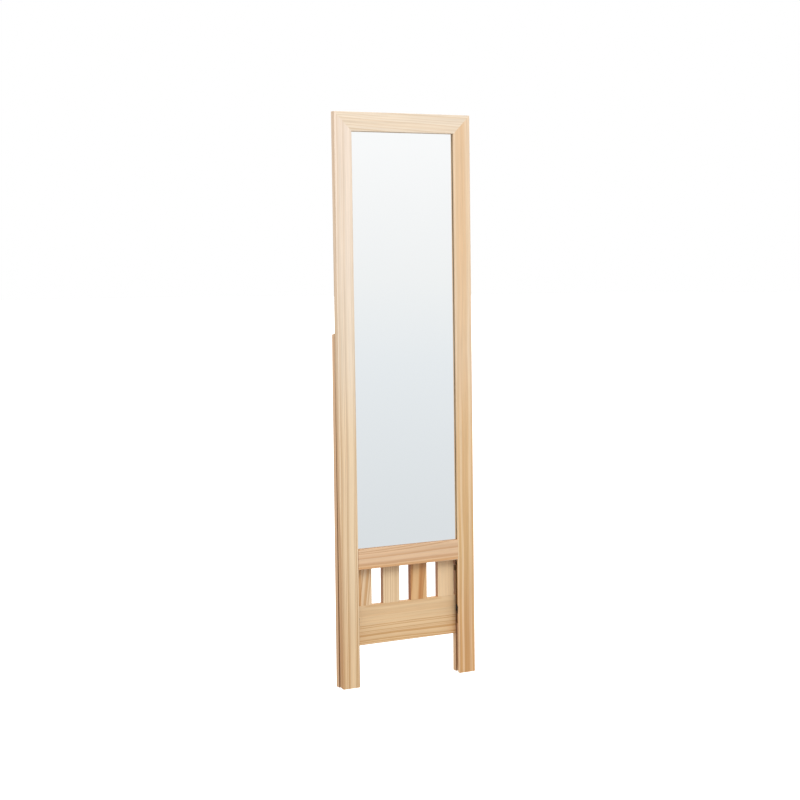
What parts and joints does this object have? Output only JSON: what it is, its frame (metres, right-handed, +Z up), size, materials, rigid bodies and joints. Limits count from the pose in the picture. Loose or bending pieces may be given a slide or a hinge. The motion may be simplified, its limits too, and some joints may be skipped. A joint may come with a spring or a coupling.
{
  "type": "folding floor mirror",
  "caption": "Tall narrow floor mirror in a pale pine frame, propped by a hinged slatted rear frame with folding stays.",
  "frame": {"origin": "on the floor, under the middle of the base", "axes": "+Z up, +Y towards the back of the mirror, +X to the right seen from the front"},
  "size_m": [0.4, 0.0428, 1.4999],
  "materials": {
    "pine": "satin",
    "mirror": "gloss",
    "tape": "matte",
    "board": "matte",
    "plated_steel": "satin",
    "hinge_steel": "satin",
    "stay_steel": "satin",
    "beech": "matte"
  },
  "bodies": {
    "front_frame": {"left_stile": "pine", "right_stile": "pine", "top_rail": "pine", "mid_rail": "pine", "mitre_splines": "beech", "mid_rail_dowels": "beech", "glazing_tape": "tape", "mirror_glass": "mirror", "back_board": "board", "board_points": "plated_steel", "left_hinge_front_leaf": "hinge_steel", "right_hinge_front_leaf": "hinge_steel", "left_hinge_pin": "plated_steel", "right_hinge_pin": "plated_steel", "hinge_front_screws": "plated_steel", "stay_posts": "stay_steel"},
    "rear_frame": {"left_rear_leg": "pine", "right_rear_leg": "pine", "rear_top_rail": "pine", "slat_rail": "pine", "bottom_rail": "pine", "slat_1": "pine", "slat_2": "pine", "slat_3": "pine", "slat_4": "pine", "slat_dowels": "beech", "rear_rail_dowels": "beech", "left_hinge_rear_leaf": "hinge_steel", "right_hinge_rear_leaf": "hinge_steel", "hinge_rear_screws": "plated_steel", "stay_pivots": "stay_steel", "stay_bracket_screws": "plated_steel", "left_stay_bracket": "stay_steel", "right_stay_bracket": "stay_steel"},
    "left_front_link": {"left_stay_front_link": "stay_steel", "left_stay_knee_rivet": "stay_steel"},
    "right_front_link": {"right_stay_front_link": "stay_steel", "right_stay_knee_rivet": "stay_steel"},
    "left_rear_link": {"left_stay_rear_link": "stay_steel"},
    "right_rear_link": {"right_stay_rear_link": "stay_steel"}
  },
  "joints": [
    {"name": "rear_frame_swing", "type": "hinge", "parent": "front_frame", "child": "rear_frame", "pos_m": [0, 0.00817, 0.93318], "axis": [1, 0, 0], "range_deg": [-0.5, 19.5]},
    {"name": "left_front_link_swing", "type": "hinge", "parent": "front_frame", "child": "left_front_link", "pos_m": [-0.1529, -0.00675, 0.29988], "axis": [1, 0, 0], "range_deg": [-1.45, 56.1]},
    {"name": "right_front_link_swing", "type": "hinge", "parent": "front_frame", "child": "right_front_link", "pos_m": [0.1529, -0.00675, 0.29988], "axis": [1, 0, 0], "range_deg": [-1.45, 56.1]},
    {"name": "left_rear_link_swing", "type": "hinge", "parent": "rear_frame", "child": "left_rear_link", "pos_m": [-0.1553, -0.00123, 0.28478], "axis": [1, 0, 0], "range_deg": [-70.5, 1.85]},
    {"name": "right_rear_link_swing", "type": "hinge", "parent": "rear_frame", "child": "right_rear_link", "pos_m": [0.1553, -0.00123, 0.28478], "axis": [1, 0, 0], "range_deg": [-70.5, 1.85]}
  ],
  "couplings": [
    {"joint": "left_front_link_swing", "follows": "rear_frame_swing", "ratio": 2.8716},
    {"joint": "right_front_link_swing", "follows": "rear_frame_swing", "ratio": 2.8716},
    {"joint": "left_rear_link_swing", "follows": "rear_frame_swing", "ratio": -3.6121},
    {"joint": "right_rear_link_swing", "follows": "rear_frame_swing", "ratio": -3.6121}
  ]
}
